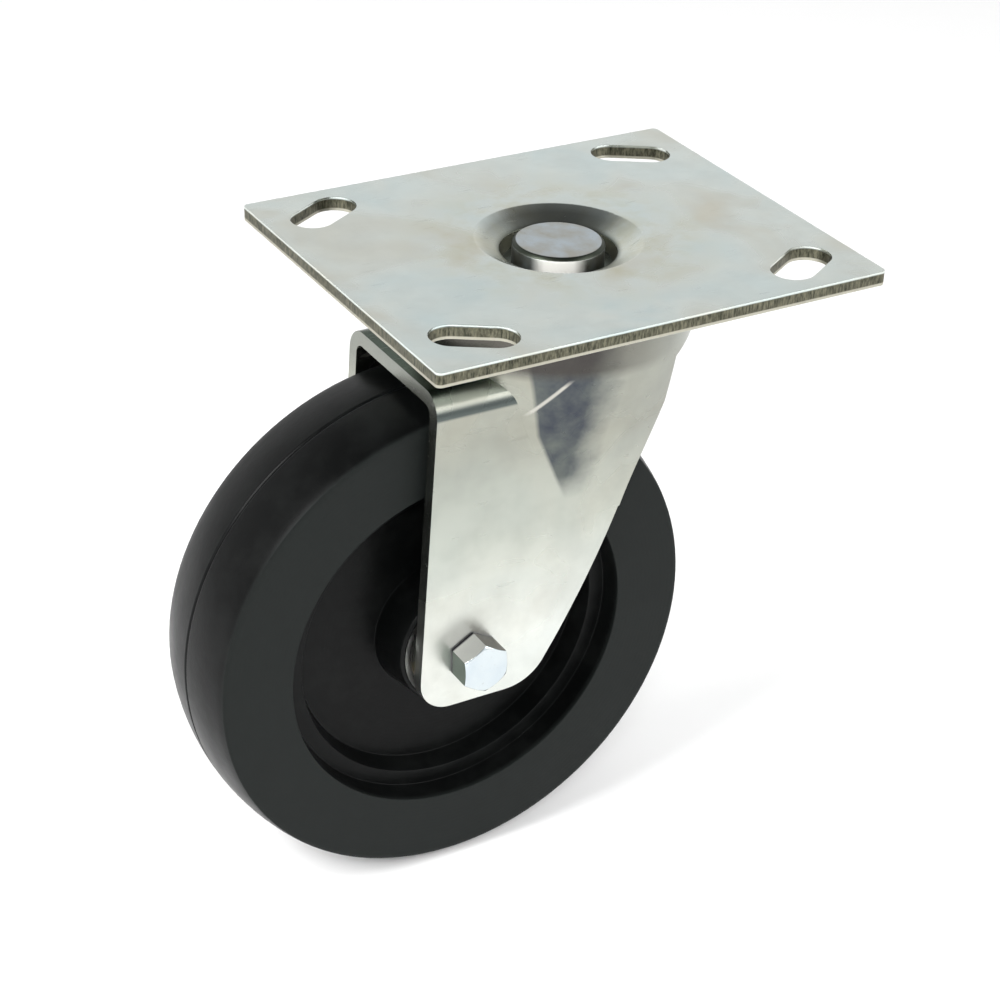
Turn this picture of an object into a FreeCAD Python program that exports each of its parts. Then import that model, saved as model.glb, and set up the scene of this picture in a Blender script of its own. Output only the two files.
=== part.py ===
import FreeCAD, Part
import os
import re
import Sketcher

# Gate wheel: a swivel plate caster with a pressed fork, two ball rows about a kingpin and a
# solid rubber wheel on a roller bearing. Row frame: the origin is the centre of the plate's top
# face, on the kingpin's axis; +Z is up; +X runs along the plate's long side; the axle lies
# along Y, with its head on the -Y side, and trails the kingpin towards -X.

doc = FreeCAD.newDocument("GateWheel")

# ---------------------------------------------------------------- driving dimensions (mm)
SIZES = {
    # top plate and its four slots
    "plate_length": 114.3,
    "plate_width": 95.25,
    "sheet_plate": 3.5,
    "plate_corner": 1.3,
    "slot_width": 10.3,
    "slot_outer_x": 46.04,
    "slot_outer_y": 33.34,
    "slot_inner": 38.1,
    # pressed dish round the kingpin's head
    "dish_lip": 19.5,
    "dish_lip_round": 1.0,
    "dish_step": 13.6,
    "dish_step_depth": 3.0,
    "dish_floor": 12.8,
    "dish_floor_depth": 6.2,
    # kingpin, riveted over a washer
    "pin_radius": 6.35,
    "pin_head_radius": 10.7,
    "pin_head_drop": 0.6,
    "pin_bevel": 0.8,
    "pin_end_radius": 8.5,
    "pin_end_height": 4.0,
    "pin_end_straight": 1.6,
    "pin_end_flat": 5.1,
    "pin_washer_radius": 10.5,
    "pin_washer_sheet": 2.0,
    "close_gap": 0.05,
    # ball rows
    "upper_ball": 3.175,
    "upper_ring": 26.5,
    "upper_count": 24,
    "lower_ball": 2.38,
    "lower_ring": 22.5,
    "lower_count": 26,
    "ball_gap": 0.05,
    "groove_depth": 0.6,
    # lower race
    "sheet_race": 2.5,
    "race_radius": 26.0,
    "race_hub": 13.6,
    # fork
    "sheet_fork": 3.5,
    "crown_mouth": 18.6,
    "crown_radius": 32.5,
    "crown_round": 1.4,
    "crown_wall": 5.2,
    "crown_plate_gap": 1.2,
    "trough_gap": 0.4,
    "crown_skirt": 17.5,
    "flange_drop": 22.0,
    "leg_inner": 17.9,
    "leg_bend": 6.0,
    "leg_rear_top": 41.2,
    "leg_rear_end": 45.7,
    "leg_below_axle": 12.7,
    "leg_front_end": 16.0,
    "leg_front_top": 16.5,
    "leg_front_curve": 220.0,
    "leg_corner": 8.0,
    "leg_toe": 12.0,
    "wing_start": 13.0,
    "wing_turn": 2.5,
    "wing_top": 8.0,
    "wing_end": 62.0,
    # axle: where it is, and what it carries
    "trail": 31.75,
    "axle_drop": 92.1,
    "bolt_radius": 3.97,
    "bolt_clearance": 0.15,
    "hex_across": 11.1,
    "hex_height": 7.0,
    "hex_turn": 31.0,
    "washer_radius": 8.9,
    "washer_sheet": 1.8,
    "nut_height": 6.8,
    "nut_collar": 2.6,
    "nut_collar_radius": 5.4,
    "nut_collar_wall": 0.7,
    "nut_insert_sheet": 2.0,
    "nut_insert_gap": 0.08,
    "nut_insert_sink": 0.2,
    "bolt_end": 2.2,
    "bolt_bevel": 0.8,
    # bearing
    "bushing_radius": 7.94,
    "roller_radius": 2.38,
    "roller_length": 24.0,
    "roller_count": 10,
    "bearing_gap": 0.03,
    "sleeve_wall": 2.3,
    "cage_wall": 2.2,
    "cage_rim": 2.0,
    "cage_gap": 0.15,
    "thrust_sheet": 1.4,
    "thrust_radius": 14.0,
    "side_play": 0.2,
    # wheel
    "wheel_radius": 63.5,
    "wheel_width": 31.75,
    "tread_drop": 2.0,
    "tread_round": 1.6,
    "rim_inner": 43.8,
    "rim_draft": 0.9,
    "ledge_depth": 5.4,
    "ledge_inner": 39.0,
    "ledge_draft": 1.4,
    "web_depth": 10.4,
    "hub_wall": 1.1,
    "hub_draft": 1.4,
    "hub_rise": 0.6,
}

sheet = doc.addObject("Spreadsheet::Sheet", "Sizes")
for row, (alias, number) in enumerate(SIZES.items(), start=1):
    sheet.set(f"A{row}", alias)
    sheet.set(f"B{row}", str(number))
    sheet.setAlias(f"B{row}", alias)
doc.recompute()


# ---------------------------------------------------------------- worked-out places, as expressions
LEG = "(leg_inner + sheet_fork)"
PLATE_UNDER = "(-sheet_plate)"
UPPER_BALL_Z = "(-sheet_plate + groove_depth - upper_ball - ball_gap)"
CROWN_TOP = f"({UPPER_BALL_Z} - upper_ball - ball_gap + groove_depth)"
CROWN_UNDER = f"({CROWN_TOP} - sheet_fork)"
LOWER_BALL_Z = f"({CROWN_UNDER} + groove_depth - lower_ball - ball_gap)"
FLANGE_UNDER = "(-flange_drop - sheet_fork)"
RACE_TOP = f"({LOWER_BALL_Z} - lower_ball - ball_gap + groove_depth)"
DISH_UNDER = "(-dish_floor_depth - sheet_plate)"
RACE_HUB_UNDER = f"({DISH_UNDER} - sheet_race)"
WASHER_UNDER = f"({RACE_HUB_UNDER} - pin_washer_sheet)"
SHEET_SPREAD = "(sheet_plate * 0.9)"
PIN_HOLE = "(pin_radius + close_gap)"
AXLE = ("-trail", "0", "-axle_drop")
HALF_WIDTH = "(wheel_width / 2)"
HUB_END = "(leg_inner - thrust_sheet - side_play)"
SLEEVE_INNER = "(bushing_radius + 2 * roller_radius + 2 * bearing_gap)"
SLEEVE_OUTER = f"({SLEEVE_INNER} + sleeve_wall)"
ROLLER_RING = "(bushing_radius + roller_radius + bearing_gap)"
BOLT_HOLE = "(bolt_radius + bolt_clearance)"
NUT_SEAT = f"({LEG} + washer_sheet)"


# ---------------------------------------------------------------- helpers
def bound(text):
    """The expression with every alias pointed at the sheet."""
    return re.sub(r"[a-z]+(_[a-z]+)+|trail", lambda m: "Sizes." + m.group(0), text)


def value(text):
    """What an expression is worth now."""
    return float(sheet.evalExpression(text))


def bind(thing, settings):
    """Ties each named property to its expression."""
    for name, text in settings.items():
        thing.setExpression(name, bound(text))


def place(thing, base):
    bind(thing, {f"Placement.Base.{axis}": text for axis, text in zip("xyz", base)})


def new_body(label, base=("0", "0", "0")):
    body = doc.addObject("PartDesign::Body", label)
    body.Label = label
    place(body, base)
    return body


def new_sketch(body, plane, offset="0"):
    """A sketch on one of the body's own origin planes."""
    sketch = body.newObject("Sketcher::SketchObject", body.Label + "_sketch")
    support = next(f for f in body.Origin.OriginFeatures if f.Role == plane)
    sketch.AttachmentSupport = [(support, "")]
    sketch.MapMode = "FlatFace"
    sketch.setExpression("AttachmentOffset.Base.z", bound(offset))
    return sketch


def outline(sketch, points, arcs=()):
    """A closed outline through the points. arcs maps a side's number to (radius, bulge),
    where bulge is 1 if the arc lies to the right of its chord and -1 if to the left. A half
    circle adds the x of its centre, which then sets it in place of the radius."""
    arcs = dict(arcs)
    corner = [FreeCAD.Vector(value(x), value(y), 0) for x, y in points]
    first = sketch.GeometryCount
    for i, start in enumerate(corner):
        end = corner[(i + 1) % len(corner)]
        if i not in arcs:
            sketch.addGeometry(Part.LineSegment(start, end), False)
            continue
        radius, bulge = arcs[i][:2]
        chord = end - start
        reach = max(value(radius) ** 2 - chord.Length**2 / 4, 0) ** 0.5
        rise = value(radius) - reach
        side = FreeCAD.Vector(chord.y, -chord.x, 0).normalize() * bulge
        sketch.addGeometry(Part.Arc(start, (start + end) / 2 + side * rise, end), False)
    for i in range(len(corner)):
        here, after = first + i, first + (i + 1) % len(corner)
        ends = [sketch.getPoint(here, k) for k in (1, 2)]
        tail = 2 if ends[1].distanceToPoint(corner[(i + 1) % len(corner)]) < 1e-6 else 1
        starts = [sketch.getPoint(after, k) for k in (1, 2)]
        head = 1 if starts[0].distanceToPoint(corner[(i + 1) % len(corner)]) < 1e-6 else 2
        sketch.addConstraint(Sketcher.Constraint("Coincident", here, tail, after, head))
        x, y = points[(i + 1) % len(corner)]
        for kind, text in (("DistanceX", x), ("DistanceY", y)):
            rule = Sketcher.Constraint(kind, -1, 1, after, head, value(text))
            number = sketch.addConstraint(rule)
            sketch.setExpression(f"Constraints[{number}]", bound(text))
        if i in arcs and len(arcs[i]) == 3:
            rule = Sketcher.Constraint("DistanceX", -1, 1, here, 3, value(arcs[i][2]))
            number = sketch.addConstraint(rule)
            sketch.setExpression(f"Constraints[{number}]", bound(arcs[i][2]))
        elif i in arcs:
            rule = Sketcher.Constraint("Radius", here, value(arcs[i][0]))
            number = sketch.addConstraint(rule)
            sketch.setExpression(f"Constraints[{number}]", bound(arcs[i][0]))
    return sketch


def circle(sketch, x, y, radius):
    centre = FreeCAD.Vector(value(x), value(y), 0)
    ring = sketch.addGeometry(Part.Circle(centre, FreeCAD.Vector(0, 0, 1), value(radius)), False)
    for kind, text in (("DistanceX", x), ("DistanceY", y)):
        number = sketch.addConstraint(Sketcher.Constraint(kind, -1, 1, ring, 3, value(text)))
        sketch.setExpression(f"Constraints[{number}]", bound(text))
    number = sketch.addConstraint(Sketcher.Constraint("Radius", ring, value(radius)))
    sketch.setExpression(f"Constraints[{number}]", bound(radius))


def feature(body, kind, sketch, **settings):
    made = body.newObject("PartDesign::" + kind, body.Label + "_" + kind.lower())
    made.Profile = (sketch, [""])
    for name, setting in settings.items():
        setattr(made, name, setting)
    return made


def turned(label, points, arcs=(), about="Z", base=("0", "0", "0")):
    """A round piece: points are (radius, height along its axis), and the axis is Z or Y."""
    body = new_body(label, base)
    sketch = outline(new_sketch(body, "XZ_Plane" if about == "Z" else "XY_Plane"), points, arcs)
    feature(body, "Revolution", sketch, ReferenceAxis=(sketch, ["V_Axis"]), Angle=360)
    return body


def edges_where(shape, test):
    return [f"Edge{i}" for i, edge in enumerate(shape.Edges, start=1) if test(edge)]


def dressed(body, kind, test, size):
    """Rounds or bevels the edges of the body's last feature that pass the test."""
    doc.recompute()
    base = body.Tip
    made = body.newObject("PartDesign::" + kind, body.Label + "_" + kind.lower())
    made.Base = (base, edges_where(base.Shape, test))
    made.setExpression("Radius" if kind == "Fillet" else "Size", bound(size))
    return made


def group(label, members):
    """Separate like pieces that share one node."""
    made = doc.addObject("Part::Compound", label)
    made.Label = label
    made.Links = members
    return made


def ring_of(label, kind, count, sizes, ring, centre, about):
    """count copies of a primitive, evenly spaced on a ring about the Z or the Y axis."""
    members = []
    for i in range(int(value(count))):
        piece = doc.addObject(kind, f"{label}_{i + 1}")
        bind(piece, sizes)
        angle = f"360deg * {i} / {count}"
        along = {
            "Z": (f"{ring} * cos({angle})", f"{ring} * sin({angle})", "0"),
            "Y": (f"{ring} * cos({angle})", "0", f"{ring} * sin({angle})"),
        }[about]
        place(piece, [f"{c} + {a}" for c, a in zip(centre, along)])
        members.append(piece)
    return group(label, members)


def joined(name, kind, shapes):
    """A boolean of several shapes: kind is MultiFuse or MultiCommon."""
    made = doc.addObject("Part::" + kind, name)
    made.Shapes = shapes
    return made


def cut(name, base, tool):
    made = doc.addObject("Part::Cut", name)
    made.Base, made.Tool = base, tool
    return made


def flat_ring(label, inner, outer, low, high, about="Y", base=AXLE):
    corners = [(inner, low), (outer, low), (outer, high), (inner, high)]
    return turned(label, corners, about=about, base=base)


# ---------------------------------------------------------------- top plate
def top_plate():
    body = new_body("top_plate")
    half_x, half_y = "plate_length / 2", "plate_width / 2"
    flat = new_sketch(body, "XY_Plane", "-sheet_plate")
    outline(flat, [(f"-{half_x}", f"-{half_y}"), (half_x, f"-{half_y}"), (half_x, half_y),
                   (f"-{half_x}", half_y)])
    feature(body, "Pad", flat).setExpression("Length", bound("sheet_plate"))
    dressed(body, "Fillet", lambda e: abs(e.tangentAt(e.FirstParameter).z) > 0.9, "plate_corner")

    # the sheet is pressed down into a dish, so its underside stands out below the plate
    boss = new_sketch(body, "XZ_Plane")
    outline(boss, [
        ("0", "-sheet_plate / 2"),
        (f"dish_lip + {SHEET_SPREAD}", "-sheet_plate / 2"),
        (f"dish_lip + {SHEET_SPREAD}", PLATE_UNDER),
        (f"dish_step + {SHEET_SPREAD}", "-sheet_plate - dish_step_depth"),
        (f"dish_floor + {SHEET_SPREAD}", DISH_UNDER),
        ("0", DISH_UNDER),
    ])
    feature(body, "Revolution", boss, ReferenceAxis=(boss, ["V_Axis"]), Angle=360)
    dish = new_sketch(body, "XZ_Plane")
    outline(dish, [
        ("0", "sheet_plate"),
        ("dish_lip", "sheet_plate"),
        ("dish_lip", "0"),
        ("dish_step", "-dish_step_depth"),
        ("dish_floor", "-dish_floor_depth"),
        ("0", "-dish_floor_depth"),
    ])
    feature(body, "Groove", dish, ReferenceAxis=(dish, ["V_Axis"]), Angle=360)
    dressed(body, "Fillet", lambda e: is_ring(e, "dish_lip", "0"), "dish_lip_round")

    # ball groove in the underside
    groove = new_sketch(body, "XZ_Plane")
    circle(groove, "upper_ring", UPPER_BALL_Z, "upper_ball + ball_gap")
    feature(body, "Groove", groove, ReferenceAxis=(groove, ["V_Axis"]), Angle=360)

    hole = new_sketch(body, "XY_Plane")
    circle(hole, "0", "0", PIN_HOLE)
    feature(body, "Pocket", hole, Type="ThroughAll", Reversed=False)

    # four slots, each between the outer and the inner bolt pattern
    for number, (sx, sy) in enumerate(((-1, -1), (1, -1), (1, 1), (-1, 1)), start=1):
        slots = new_sketch(body, "XY_Plane")
        slot_outline(slots, sx, sy)
        feature(body, "Pocket", slots, Type="ThroughAll")
    return body


def is_ring(edge, radius, height):
    curve = edge.Curve
    return (
        isinstance(curve, Part.Circle)
        and abs(curve.Radius - value(radius)) < 1e-4
        and abs(curve.Center.z - value(height)) < 1e-4
    )


def slot_outline(sketch, sx, sy):
    """A round-ended slot from (slot_outer_x, slot_outer_y) to (slot_inner, slot_inner)."""
    run = "sqrt((slot_outer_x - slot_inner)^2 + (slot_inner - slot_outer_y)^2)"
    side_x = f"slot_width / 2 * (slot_inner - slot_outer_y) / {run}"
    side_y = f"slot_width / 2 * (slot_outer_x - slot_inner) / {run}"
    corners = [
        (f"{sx} * (slot_outer_x - {side_x})", f"{sy} * (slot_outer_y - {side_y})"),
        (f"{sx} * (slot_inner - {side_x})", f"{sy} * (slot_inner - {side_y})"),
        (f"{sx} * (slot_inner + {side_x})", f"{sy} * (slot_inner + {side_y})"),
        (f"{sx} * (slot_outer_x + {side_x})", f"{sy} * (slot_outer_y + {side_y})"),
    ]
    half, bulge = "slot_width / 2", -sx * sy
    outline(sketch, corners, {1: (half, bulge, f"{sx} * slot_inner"),
                              3: (half, bulge, f"{sx} * slot_outer_x")})


# ---------------------------------------------------------------- kingpin group
def kingpin():
    head_top = "-pin_head_drop"
    return turned("kingpin", [
        ("0", head_top),
        ("pin_head_radius - pin_bevel", head_top),
        ("pin_head_radius", f"{head_top} - pin_bevel"),
        ("pin_head_radius", "-dish_floor_depth"),
        ("pin_radius", "-dish_floor_depth"),
        ("pin_radius", WASHER_UNDER),
        ("pin_end_radius", WASHER_UNDER),
        ("pin_end_radius", f"{WASHER_UNDER} - pin_end_straight"),
        ("pin_end_flat", f"{WASHER_UNDER} - pin_end_height"),
        ("0", f"{WASHER_UNDER} - pin_end_height"),
    ])


def kingpin_washer():
    return flat_ring("kingpin_washer", PIN_HOLE, "pin_washer_radius", WASHER_UNDER,
                     RACE_HUB_UNDER, "Z", ("0", "0", "0"))


def lower_race():
    """A pressed cup: its hub sits under the plate's dish and its brim carries the lower balls."""
    brim_under = f"({RACE_TOP} - sheet_race)"
    body = turned("lower_race", [
        (PIN_HOLE, DISH_UNDER),
        ("race_hub", DISH_UNDER),
        ("race_hub + sheet_race * 1.6", RACE_TOP),
        ("race_radius", RACE_TOP),
        ("race_radius", brim_under),
        ("race_hub + sheet_race * 0.6", brim_under),
        ("race_hub - sheet_race", RACE_HUB_UNDER),
        (PIN_HOLE, RACE_HUB_UNDER),
    ])
    groove = new_sketch(body, "XZ_Plane")
    circle(groove, "lower_ring", LOWER_BALL_Z, "lower_ball + ball_gap")
    feature(body, "Groove", groove, ReferenceAxis=(groove, ["V_Axis"]), Angle=360)
    return body


def ball_rows():
    upper = ring_of("upper_balls", "Part::Sphere", "upper_count", {"Radius": "upper_ball"},
                    "upper_ring", ("0", "0", UPPER_BALL_Z), "Z")
    lower = ring_of("lower_balls", "Part::Sphere", "lower_count", {"Radius": "lower_ball"},
                    "lower_ring", ("0", "0", LOWER_BALL_Z), "Z")
    return [upper, lower]


# ---------------------------------------------------------------- fork
WING_STEPS = 6


def crown_form(name):
    """The round crown as a solid drum, from a small gap under the plate down to the wings."""
    top, low = "(-sheet_plate - crown_plate_gap)", "(-wing_top)"
    body = turned(name, [("0", top), ("crown_radius", top), ("crown_radius", low), ("0", low)])
    dressed(body, "Fillet", lambda e: is_ring(e, "crown_radius", top), "crown_round")
    return body


def crown_hollows():
    """What is pressed out of the drum: the ball trough on top, and the cavity below."""
    hollow = doc.addObject("Part::Cylinder", "crown_hollow")
    bind(hollow, {"Radius": "crown_radius - crown_wall",
                  "Height": f"{CROWN_UNDER} + flange_drop + sheet_fork"})
    place(hollow, ("0", "0", FLANGE_UNDER))
    trough = doc.addObject("Part::Cylinder", "crown_trough")
    bind(trough, {"Radius": "upper_ring + upper_ball + trough_gap", "Height": f"-{CROWN_TOP}"})
    place(trough, ("0", "0", CROWN_TOP))
    return [hollow, trough]


def leg_form(name, inset):
    """The bent strip that makes the flange and both legs, as a solid block with rounded top
    corners. From wing_start forward its sides turn in a little."""
    body = new_body(name)
    across, top, low = f"({LEG} - {inset})", f"(-flange_drop - {inset})", "(-axle_drop * 1.5)"
    bend = f"(leg_bend - {inset})"
    end_view = new_sketch(body, "YZ_Plane")
    outline(end_view, [
        (f"-{across}", low),
        (across, low),
        (across, f"{top} - {bend}"),
        (f"{across} - {bend}", top),
        (f"-({across} - {bend})", top),
        (f"-{across}", f"{top} - {bend}"),
    ], {2: (bend, 1), 4: (bend, 1)})
    feature(body, "Pad", end_view, SideType="Symmetric").setExpression(
        "Length", bound("4 * leg_rear_end"))
    for side in ("", "-"):
        plan = new_sketch(body, "XY_Plane")
        reach = "(2 * leg_rear_end)"
        outline(plan, [
            ("-wing_start", f"{side}{across}"),
            (reach, f"{side}({across} - (wing_start + {reach}) * tan(wing_turn * 1deg))"),
            (reach, f"{side}({across} + wing_start)"),
            ("-wing_start", f"{side}({across} + wing_start)"),
        ])
        feature(body, "Pocket", plan, Type="ThroughAll")
    return body


def wing_form(name, inset, first):
    """The swell that carries the round crown down into the flat legs: a loft through ellipses
    that narrow smoothly from the crown's width to the legs'."""
    rings = []
    for number in range(first, WING_STEPS + 1):
        share = number / WING_STEPS
        swell = (1 - share) ** 2 * (1 + 2 * share)
        ring = doc.addObject("Part::Ellipse", f"{name}_{number}")
        bind(ring, {
            "MajorRadius": f"crown_radius - {inset}",
            "MinorRadius": f"{LEG} + (crown_radius - {LEG}) * {swell} - {inset}",
            "Placement.Base.z": f"-(wing_top + (wing_end - wing_top) * {share})",
        })
        rings.append(ring)
    loft = doc.addObject("Part::Loft", name)
    loft.Sections, loft.Solid, loft.Ruled = rings, True, False
    return loft


def side_form():
    """The fork as seen from the side: everything outside this outline is sheared away."""
    body = new_body("fork_side")
    view = new_sketch(body, "XZ_Plane")
    foot = "(-axle_drop - leg_below_axle)"
    outline(view, [
        ("-leg_rear_top", "sheet_fork"),
        ("-leg_rear_end", foot),
        ("-leg_front_end", foot),
        ("leg_front_top", "-flange_drop - wing_start"),
        ("leg_front_top", "-flange_drop"),
        ("crown_radius - sheet_fork * 2", "-crown_skirt"),
        ("2 * crown_radius", "-crown_skirt"),
        ("2 * crown_radius", "sheet_fork"),
    ], {2: ("leg_front_curve", 1)})
    feature(body, "Pad", view, SideType="Symmetric").setExpression(
        "Length", bound("4 * crown_radius"))
    corner = FreeCAD.Vector(value("-leg_rear_end"), 0, value(foot))
    dressed(body, "Fillet", lambda e: upright_through(e, corner), "leg_corner")
    toe = FreeCAD.Vector(value("-leg_front_end"), 0, value(foot))
    dressed(body, "Fillet", lambda e: upright_through(e, toe), "leg_toe")
    return body


def upright_through(edge, point):
    """An edge along Y that passes through the point's X and Z."""
    ends = [v.Point for v in edge.Vertexes]
    return len(ends) == 2 and all(
        abs(p.x - point.x) < 1e-4 and abs(p.z - point.z) < 1e-4 for p in ends)


def fork():
    skins = []
    for name, inset in (("outer", "0"), ("inner", "sheet_fork")):
        first = 0 if name == "outer" else 1
        forms = [leg_form(f"leg_{name}", inset), wing_form(f"wing_{name}", inset, first)]
        forms += [crown_form("crown_drum")] if name == "outer" else crown_hollows()
        skins.append(joined(f"fork_{name}", "MultiFuse", forms))
    trimmed = joined("fork_trimmed", "MultiCommon", [skins[0], side_form()])
    shell = cut("fork_shell", trimmed, skins[1])

    mouth = doc.addObject("Part::Cylinder", "fork_mouth")
    bind(mouth, {"Radius": "crown_mouth", "Height": "flange_drop"})
    place(mouth, ("0", "0", "-flange_drop"))
    axle_hole = doc.addObject("Part::Cylinder", "fork_axle_hole")
    bind(axle_hole, {"Radius": BOLT_HOLE, "Height": "4 * leg_inner"})
    axle_hole.Placement.Rotation = FreeCAD.Rotation(FreeCAD.Vector(1, 0, 0), 90)
    place(axle_hole, ("-trail", "2 * leg_inner", "-axle_drop"))
    upper = ball_path("fork_upper_groove", "upper_ring", UPPER_BALL_Z, "upper_ball")
    lower = ball_path("fork_lower_groove", "lower_ring", LOWER_BALL_Z, "lower_ball")
    holes = joined("fork_holes", "MultiFuse", [mouth, axle_hole, upper, lower])
    whole = cut("fork", shell, holes)
    whole.Label = "fork"
    return whole


def ball_path(label, ring, height, ball):
    """The ring that a row of balls sweeps, with its running gap."""
    body = new_body(label)
    section = new_sketch(body, "XZ_Plane")
    circle(section, ring, height, f"{ball} + ball_gap")
    feature(body, "Revolution", section, ReferenceAxis=(section, ["V_Axis"]), Angle=360)
    return body


# ---------------------------------------------------------------- axle group
def hexagon_prism(body, low, high):
    """A hexagon across flats hex_across, about the body's Y axis, from y = low to y = high."""
    corner = "(hex_across / sqrt(3))"
    points = [(f"{corner} * cos({60 * k}deg + hex_turn * 1deg)",
               f"{corner} * sin({60 * k}deg + hex_turn * 1deg)") for k in range(6)]
    sketch = new_sketch(body, "XZ_Plane", f"-({high})")
    outline(sketch, points)
    pad = feature(body, "Pad", sketch)
    pad.setExpression("Length", bound(f"{high} - ({low})"))
    return pad


def axle_bolt():
    """Hex head on the -Y side, shank through both legs, end past the lock nut."""
    tip = f"({NUT_SEAT} + nut_height + nut_collar + bolt_end)"
    body = new_body("axle_bolt", AXLE)
    hexagon_prism(body, f"-{LEG} - hex_height", f"-{LEG}")
    bevel_head(body, f"-{LEG} - hex_height", -1)
    shank = new_sketch(body, "XY_Plane")
    outline(shank, [
        ("0", f"-{LEG} - hex_height / 2"),
        ("bolt_radius", f"-{LEG} - hex_height / 2"),
        ("bolt_radius", f"{tip} - bolt_bevel"),
        ("bolt_radius - bolt_bevel", tip),
        ("0", tip),
    ])
    feature(body, "Revolution", shank, ReferenceAxis=(shank, ["V_Axis"]), Angle=360)
    return body


def bevel_head(body, face, way):
    """Turns the hexagon's corners off at 30 degrees at the face y = face."""
    flat, corner = "(hex_across / 2)", "(hex_across / sqrt(3) * 1.1)"
    slope = f"(({corner} - {flat} * 0.95) * tan(30deg))"
    inward = f"({face} - ({way}) * {slope})"
    outward = f"({face} + ({way}) * {slope})"
    ring = new_sketch(body, "XY_Plane")
    outline(ring, [(f"{flat} * 0.95", face), (corner, inward), (corner, outward),
                   (f"{flat} * 0.95", outward)])
    return feature(body, "Groove", ring, ReferenceAxis=(ring, ["V_Axis"]), Angle=360)


def lock_nut():
    """Hexagon with a round collar that holds the locking ring."""
    low, high = NUT_SEAT, f"({NUT_SEAT} + nut_height)"
    top = f"({high} + nut_collar)"
    body = new_body("lock_nut", AXLE)
    hexagon_prism(body, low, high)
    bevel_head(body, high, 1)
    collar = new_sketch(body, "XY_Plane")
    outline(collar, [("0", low), ("nut_collar_radius", low), ("nut_collar_radius", top),
                     ("0", top)])
    feature(body, "Revolution", collar, ReferenceAxis=(collar, ["V_Axis"]), Angle=360)
    bore = new_sketch(body, "XY_Plane")
    seat = f"({top} - nut_insert_sheet)"
    outline(bore, [
        ("0", f"{low} - nut_collar"),
        ("bolt_radius + close_gap", f"{low} - nut_collar"),
        ("bolt_radius + close_gap", seat),
        ("nut_collar_radius - nut_collar_wall", seat),
        ("nut_collar_radius - nut_collar_wall", f"{top} + nut_collar"),
        ("0", f"{top} + nut_collar"),
    ])
    feature(body, "Groove", bore, ReferenceAxis=(bore, ["V_Axis"]), Angle=360)
    return body


def nut_insert():
    top = f"({NUT_SEAT} + nut_height + nut_collar)"
    return flat_ring("nut_insert", "bolt_radius + nut_insert_gap",
                     "nut_collar_radius - nut_collar_wall - close_gap",
                     f"{top} - nut_insert_sheet", f"{top} - nut_insert_sink")


def nut_washer():
    return flat_ring("nut_washer", BOLT_HOLE, "washer_radius", LEG, NUT_SEAT)


# ---------------------------------------------------------------- bearing
def axle_bushing():
    return flat_ring("axle_bushing", BOLT_HOLE, "bushing_radius", "-leg_inner", "leg_inner")


def thrust_washers():
    inner = "bushing_radius + cage_gap"
    face = "(leg_inner - thrust_sheet)"
    near = flat_ring("near_thrust_washer", inner, "thrust_radius", "-leg_inner", f"-{face}")
    far = flat_ring("far_thrust_washer", inner, "thrust_radius", face, "leg_inner")
    return [near, far]


def hub_sleeve():
    return flat_ring("hub_sleeve", SLEEVE_INNER, SLEEVE_OUTER, f"-{HUB_END}", HUB_END)


def bearing_rollers():
    start = ("-trail", "roller_length / 2", "-axle_drop")
    rollers = ring_of("bearing_rollers", "Part::Cylinder", "roller_count",
                      {"Radius": "roller_radius", "Height": "roller_length"},
                      ROLLER_RING, start, "Y")
    lying = FreeCAD.Rotation(FreeCAD.Vector(1, 0, 0), 90)
    for roller in rollers.Links:
        roller.Placement.Rotation = lying
    return rollers


def roller_cage():
    """A ring with one window for each roller."""
    half = "(roller_length / 2 + cage_gap + cage_rim)"
    inner, outer = f"({ROLLER_RING} - cage_wall / 2)", f"({ROLLER_RING} + cage_wall / 2)"
    body = flat_ring("roller_cage", inner, outer, f"-{half}", half)
    window = new_sketch(body, "YZ_Plane")
    half_slot = "(roller_length / 2 + cage_gap)"
    wide = "(roller_radius + cage_gap)"
    outline(window, [(f"-{half_slot}", f"-{wide}"), (half_slot, f"-{wide}"),
                     (half_slot, wide), (f"-{half_slot}", wide)])
    slot = feature(body, "Pocket", window, Reversed=True)
    slot.setExpression("Length", bound(f"{outer} + cage_wall"))
    turns = body.newObject("PartDesign::PolarPattern", "roller_cage_windows")
    turns.Originals = [slot]
    axis = next(f for f in body.Origin.OriginFeatures if f.Role == "Y_Axis")
    turns.Axis = (axis, [""])
    turns.Angle = 360
    turns.setExpression("Occurrences", bound("roller_count"))
    body.Tip = turns
    return body


# ---------------------------------------------------------------- wheel
def wheel():
    """Solid moulded rubber: crowned tread, flat rim faces, two steps down to a thin web."""
    def side(way):
        face = f"{way} * {HALF_WIDTH}"
        ledge = f"{way} * ({HALF_WIDTH} - ledge_depth)"
        web = f"{way} * ({HALF_WIDTH} - web_depth)"
        hub = f"{way} * {HUB_END}"
        return [
            (SLEEVE_OUTER, hub),
            (f"{SLEEVE_OUTER} + hub_wall - hub_rise", hub),
            (f"{SLEEVE_OUTER} + hub_wall", f"{way} * ({HUB_END} - hub_rise)"),
            (f"{SLEEVE_OUTER} + hub_wall + hub_draft", web),
            ("ledge_inner - ledge_draft", web),
            ("ledge_inner", ledge),
            ("rim_inner - rim_draft", ledge),
            ("rim_inner", face),
            ("wheel_radius - tread_drop - tread_round", face),
            ("wheel_radius - tread_drop", f"{way} * ({HALF_WIDTH} - tread_round)"),
        ]

    near = side("-1")
    points = near + side("1")[::-1]
    edge = "(wheel_width / 2 - tread_round)"
    crown = f"(({edge}^2 + tread_drop^2) / (2 * tread_drop))"
    corner, tread = len(near) - 2, len(near) - 1
    arcs = {corner: ("tread_round", 1), tread: (crown, 1), tread + 1: ("tread_round", 1)}
    return turned("wheel", points, arcs, about="Y", base=AXLE)


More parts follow.
